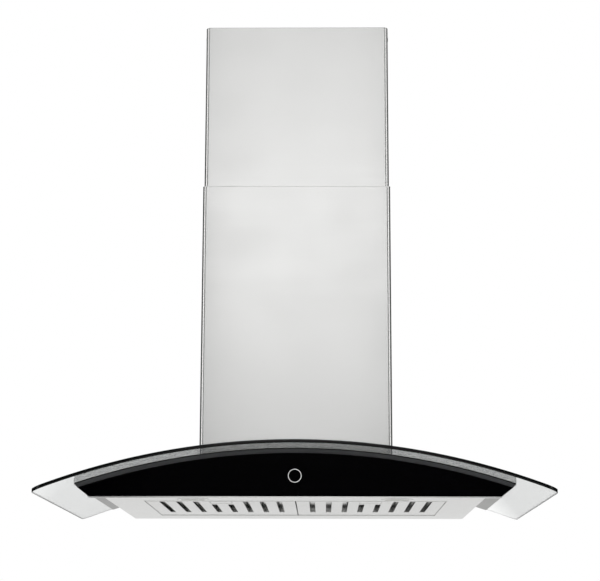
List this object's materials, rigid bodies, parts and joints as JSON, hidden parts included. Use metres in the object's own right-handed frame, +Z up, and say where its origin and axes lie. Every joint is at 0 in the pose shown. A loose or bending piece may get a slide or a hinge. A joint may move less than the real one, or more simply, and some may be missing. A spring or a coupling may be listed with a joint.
{
  "type": "island range hood",
  "caption": "Ceiling-hung island range hood with a telescoping steel chimney, curved glass canopy, black touch fascia, slotted filters and an inner blower.",
  "frame": {"origin": "middle of the ceiling plate's top face, where the hood hangs from the ceiling", "axes": "+Z up towards the ceiling, -Y towards the front with the touch fascia, +X to the right seen from the front"},
  "size_m": [0.9, 0.65, 0.9098],
  "materials": {
    "chimney_steel": "brushed stainless steel, fine horizontal grain",
    "zinc_steel": "zinc-plated steel",
    "fastener_steel": "bright zinc-plated steel",
    "galvanised_sheet": "galvanised sheet steel",
    "body_steel": "brushed stainless steel",
    "filter_steel": "satin stainless steel",
    "spring_steel": "spring wire",
    "gasket_rubber": "soft black rubber",
    "canopy_glass": "clear tempered glass",
    "black_glass": "black back-printed tempered glass",
    "trim_plastic": "dark grey satin trim",
    "ring_print": "light grey print",
    "frosted_lens": "frosted plastic",
    "moulded_plastic": "moulded flame-retardant plastic",
    "impeller_plastic": "moulded plastic",
    "motor_paint": "black enamelled steel",
    "capacitor_can": "moulded plastic can",
    "circuit_board": "glass-fibre circuit board"
  },
  "bodies": {
    "hood": {"blower_box": "galvanised_sheet", "blower_screws": "fastener_steel", "body_screws": "fastener_steel", "body_shell": "body_steel", "bottom_pan": "body_steel", "cable_gland": "moulded_plastic", "canopy_glass": "canopy_glass", "canopy_trim": "trim_plastic", "capacitor": "capacitor_can", "ceiling_plate": "zinc_steel", "clamp_bolts": "fastener_steel", "clamp_nuts": "fastener_steel", "control_housing": "moulded_plastic", "damper_pin": "fastener_steel", "duct_collar": "moulded_plastic", "fascia_carrier": "body_steel", "frame_screws": "fastener_steel", "front_fascia": "black_glass", "glass_gasket_lower": "gasket_rubber", "glass_gasket_upper": "gasket_rubber", "lamp_housing_left": "body_steel", "lamp_housing_right": "body_steel", "lamp_lens_left": "frosted_lens", "lamp_lens_right": "frosted_lens", "lower_post_front_left": "zinc_steel", "lower_post_front_right": "zinc_steel", "lower_post_rear_left": "zinc_steel", "lower_post_rear_right": "zinc_steel", "motor": "motor_paint", "motor_bracket": "zinc_steel", "scroll_front": "moulded_plastic", "scroll_rear": "moulded_plastic", "supply_board": "circuit_board", "supply_box": "galvanised_sheet", "supply_lid": "galvanised_sheet", "support_plate": "body_steel", "touch_board": "circuit_board", "touch_ring": "ring_print", "upper_chimney_front": "chimney_steel", "upper_chimney_rear": "chimney_steel", "upper_chimney_rivets": "chimney_steel", "upper_post_front_left": "zinc_steel", "upper_post_front_right": "zinc_steel", "upper_post_rear_left": "zinc_steel", "upper_post_rear_right": "zinc_steel"},
    "lower_chimney": {"lower_chimney_front": "chimney_steel", "lower_chimney_rear": "chimney_steel", "lower_chimney_rivets": "chimney_steel"},
    "impeller": {"impeller": "impeller_plastic", "motor_shaft": "fastener_steel"},
    "damper_left": {"damper_flap_left": "galvanised_sheet"},
    "damper_right": {"damper_flap_right": "galvanised_sheet"},
    "filter_left": {"filter_tray_left": "filter_steel", "filter_baffles_left": "filter_steel", "latch_spring_left": "spring_steel"},
    "filter_right": {"filter_tray_right": "filter_steel", "filter_baffles_right": "filter_steel", "latch_spring_right": "spring_steel"},
    "latch_left": {"filter_latch_left": "filter_steel"},
    "latch_right": {"filter_latch_right": "filter_steel"}
  },
  "joints": [
    {"name": "lower_chimney_lift", "type": "slide", "parent": "hood", "child": "lower_chimney", "axis": [0, 0, 1], "range_m": [0, 0.28]},
    {"name": "impeller_spin", "type": "hinge", "parent": "hood", "child": "impeller", "pos_m": [-0.04625, 0, -0.71214], "axis": [0, 1, 0], "continuous": true},
    {"name": "damper_left_swing", "type": "hinge", "parent": "hood", "child": "damper_left", "pos_m": [0, 0, -0.53739], "axis": [0, 1, 0], "range_deg": [0, 80]},
    {"name": "damper_right_swing", "type": "hinge", "parent": "hood", "child": "damper_right", "pos_m": [0, 0, -0.53739], "axis": [0, -1, 0], "range_deg": [0, 80]},
    {"name": "filter_left_drop", "type": "hinge", "parent": "hood", "child": "filter_left", "pos_m": [0, 0.167, -0.9078], "axis": [1, 0, 0], "range_deg": [0, 60]},
    {"name": "latch_left_pull", "type": "slide", "parent": "filter_left", "child": "latch_left", "axis": [0, 1, 0], "range_m": [0, 0.006], "stiffness_N_per_m": 400, "springref_m": -0.004, "deforming": ["latch_spring_left"]},
    {"name": "filter_right_drop", "type": "hinge", "parent": "hood", "child": "filter_right", "pos_m": [0, 0.167, -0.9078], "axis": [1, 0, 0], "range_deg": [0, 60]},
    {"name": "latch_right_pull", "type": "slide", "parent": "filter_right", "child": "latch_right", "axis": [0, 1, 0], "range_m": [0, 0.006], "stiffness_N_per_m": 400, "springref_m": -0.004, "deforming": ["latch_spring_right"]}
  ]
}
